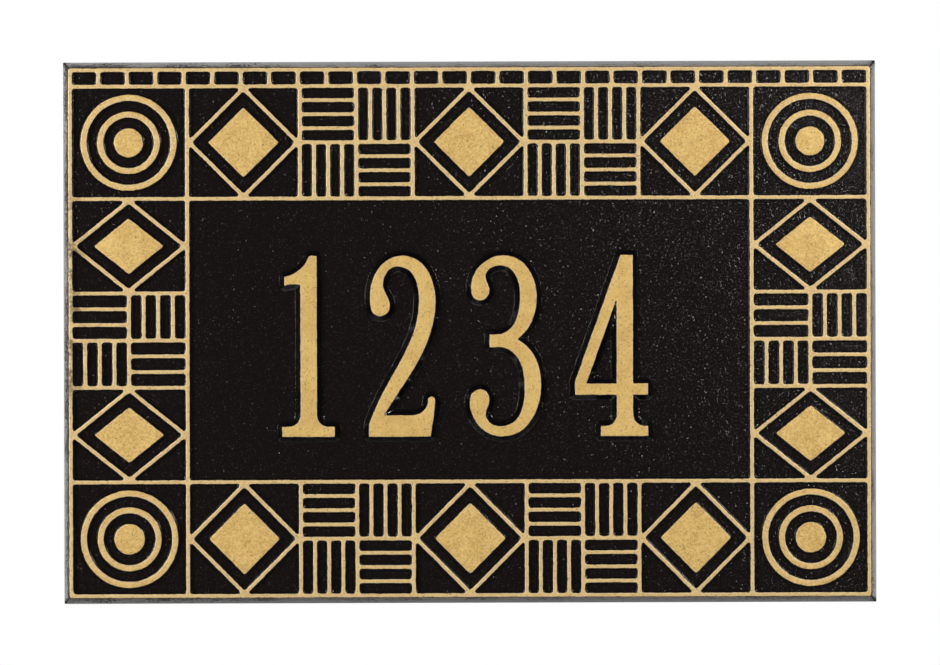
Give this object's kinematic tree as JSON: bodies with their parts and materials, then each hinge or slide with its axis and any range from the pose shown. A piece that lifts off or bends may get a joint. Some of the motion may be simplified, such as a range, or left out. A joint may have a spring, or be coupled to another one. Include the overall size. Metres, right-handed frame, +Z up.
{
  "type": "house number plaque",
  "caption": "Rectangular cast house number plaque with raised condensed numerals in a recessed field, a raised geometric border and a hollow back with tapped bosses.",
  "frame": {"origin": "centre of the back of the plaque, in the plane that meets the wall, which is also the centre of the tapped stud holes", "axes": "+X along the width, to the right seen from the front; +Y out of the back, into the wall; +Z up. The numerals face -Y."},
  "size_m": [0.4, 0.0107, 0.2666],
  "materials": {
    "painted_casting": "satin"
  },
  "bodies": {
    "root": {"plaque": "painted_casting"}
  },
  "joints": []
}
